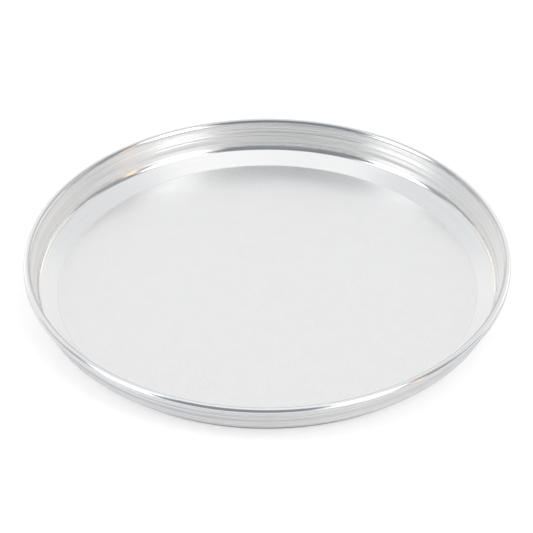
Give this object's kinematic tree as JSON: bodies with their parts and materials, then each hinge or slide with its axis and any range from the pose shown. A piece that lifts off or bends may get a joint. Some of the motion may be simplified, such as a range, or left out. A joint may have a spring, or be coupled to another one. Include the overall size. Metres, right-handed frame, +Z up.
{
  "type": "round baking tray",
  "caption": "Shallow round baking tray of spun metal sheet: flat floor, raised band around it, flared wall and a rim rolled over a hidden wire ring.",
  "frame": {"origin": "centre of the flat underside that the tray rests on", "axes": "+Z up along the tray's axis, from the underside to the rim"},
  "size_m": [0.4, 0.4, 0.034],
  "materials": {
    "spun_aluminium": "bare spun aluminium: satin floor, smooth band, brushed wall and burnished rim",
    "wire_steel": "drawn steel wire, galvanised"
  },
  "bodies": {
    "root": {"tray_shell": "spun_aluminium", "rim_wire": "wire_steel"}
  },
  "joints": []
}
